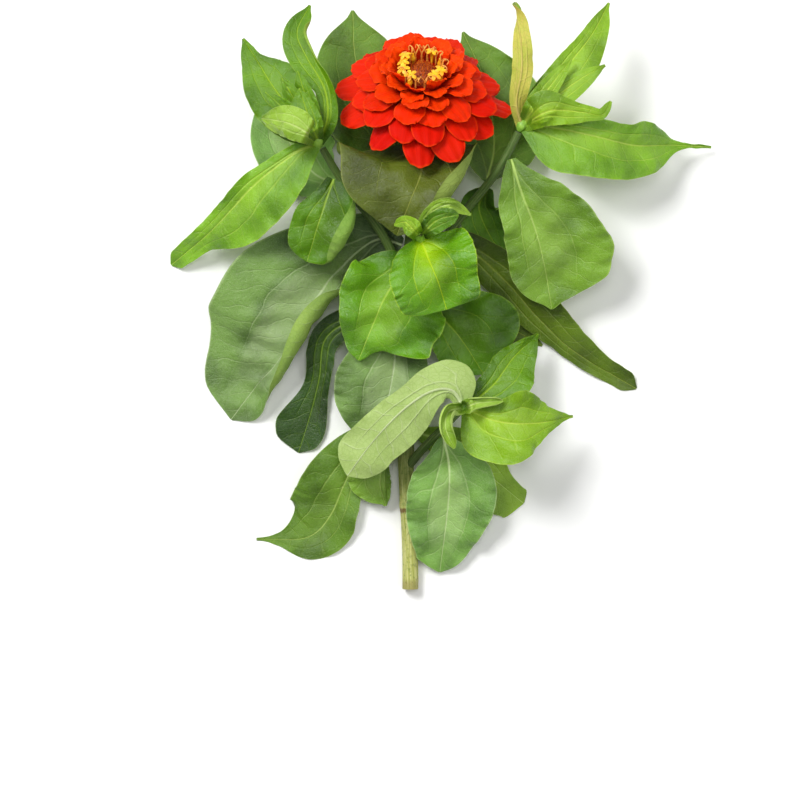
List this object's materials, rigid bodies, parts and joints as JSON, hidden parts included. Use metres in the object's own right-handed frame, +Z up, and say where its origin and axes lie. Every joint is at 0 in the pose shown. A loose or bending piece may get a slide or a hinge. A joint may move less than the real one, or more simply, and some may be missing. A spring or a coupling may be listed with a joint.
{
  "type": "zinnia flower",
  "caption": "Cut zinnia lying flat: a double red bloom with a yellow centre on a leafy, branched green stem.",
  "frame": {"origin": "middle of the footprint, on the surface that the flower lies on", "axes": "+Y along the stem from its cut end to the bloom, +X across it to the right, +Z up from the surface"},
  "size_m": [0.2448, 0.2626, 0.0632],
  "materials": {
    "leaf": "matte, softly veined",
    "young_leaf": "soft satin",
    "stem": "matte, faintly ribbed",
    "petal": "velvety matte",
    "disc": "bristly matte",
    "floret": "matte"
  },
  "bodies": {
    "root": {"stem": "stem", "involucre": "stem", "ray_florets": "petal", "disc_centre": "disc", "disc_florets": "floret", "shoot_upper_left": "young_leaf", "shoot_upper_right": "young_leaf", "shoot_centre": "young_leaf", "shoot_lower_right": "young_leaf", "leaf_back_left": "leaf", "leaf_behind_left": "leaf", "leaf_behind_right": "leaf", "leaf_under_right": "leaf", "leaf_low_right": "leaf", "leaf_foot_right": "leaf", "leaf_low_left": "leaf", "leaf_foot_left": "leaf", "leaf_big_left": "leaf", "leaf_long_right": "leaf", "leaf_small_low": "leaf", "leaf_centre_left": "leaf", "leaf_centre_right": "leaf", "leaf_curled_left": "leaf", "leaf_glossy_centre": "leaf", "leaf_big_right": "leaf", "leaf_lower_shoot_back": "leaf", "leaf_front_low": "leaf", "leaf_under_bloom": "leaf"}
  },
  "joints": []
}
